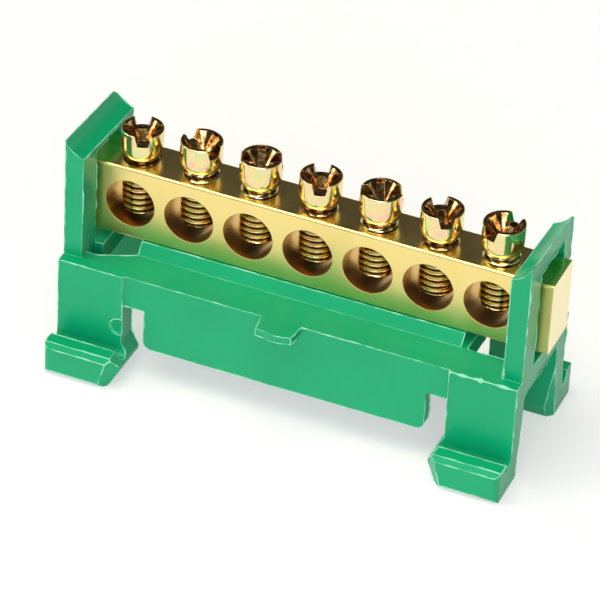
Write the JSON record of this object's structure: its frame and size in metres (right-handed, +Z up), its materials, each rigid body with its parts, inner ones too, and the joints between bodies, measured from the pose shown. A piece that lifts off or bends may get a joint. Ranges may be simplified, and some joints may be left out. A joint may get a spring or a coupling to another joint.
{
  "type": "earth terminal bar",
  "caption": "Drilled brass earth bar with clamp screws, held in a moulded plastic carrier whose hooked feet clip onto a 35 mm mounting rail.",
  "frame": {"origin": "middle of the footprint, on the surface under the feet", "axes": "+X along the brass bar, -Y towards the front of the terminals, +Z up towards the screw heads"},
  "size_m": [0.052, 0.0214, 0.0258],
  "materials": {
    "green_nylon": "moulded, soft gloss",
    "brass": "drawn, bright, with fine lengthwise lines",
    "plated_steel": "yellow zinc plate, bright"
  },
  "bodies": {
    "base": {"holder": "green_nylon", "bar": "brass"},
    "clamp_1": {"screw_1": "plated_steel"},
    "clamp_2": {"screw_2": "plated_steel"},
    "clamp_3": {"screw_3": "plated_steel"},
    "clamp_4": {"screw_4": "plated_steel"},
    "clamp_5": {"screw_5": "plated_steel"},
    "clamp_6": {"screw_6": "plated_steel"},
    "clamp_7": {"screw_7": "plated_steel"}
  },
  "joints": [
    {"name": "clamp_1_travel", "type": "slide", "parent": "base", "child": "clamp_1", "axis": [0, 0, 1], "range_m": [-0.00005, 0.0049]},
    {"name": "clamp_2_travel", "type": "slide", "parent": "base", "child": "clamp_2", "axis": [0, 0, 1], "range_m": [-0.0004, 0.00455]},
    {"name": "clamp_3_travel", "type": "slide", "parent": "base", "child": "clamp_3", "axis": [0, 0, 1], "range_m": [-0.0004, 0.00455]},
    {"name": "clamp_4_travel", "type": "slide", "parent": "base", "child": "clamp_4", "axis": [0, 0, 1], "range_m": [-0.0002, 0.00475]},
    {"name": "clamp_5_travel", "type": "slide", "parent": "base", "child": "clamp_5", "axis": [0, 0, 1], "range_m": [-0.0004, 0.00455]},
    {"name": "clamp_6_travel", "type": "slide", "parent": "base", "child": "clamp_6", "axis": [0, 0, 1], "range_m": [-0.00025, 0.0047]},
    {"name": "clamp_7_travel", "type": "slide", "parent": "base", "child": "clamp_7", "axis": [0, 0, 1], "range_m": [-0.0005, 0.00445]}
  ]
}
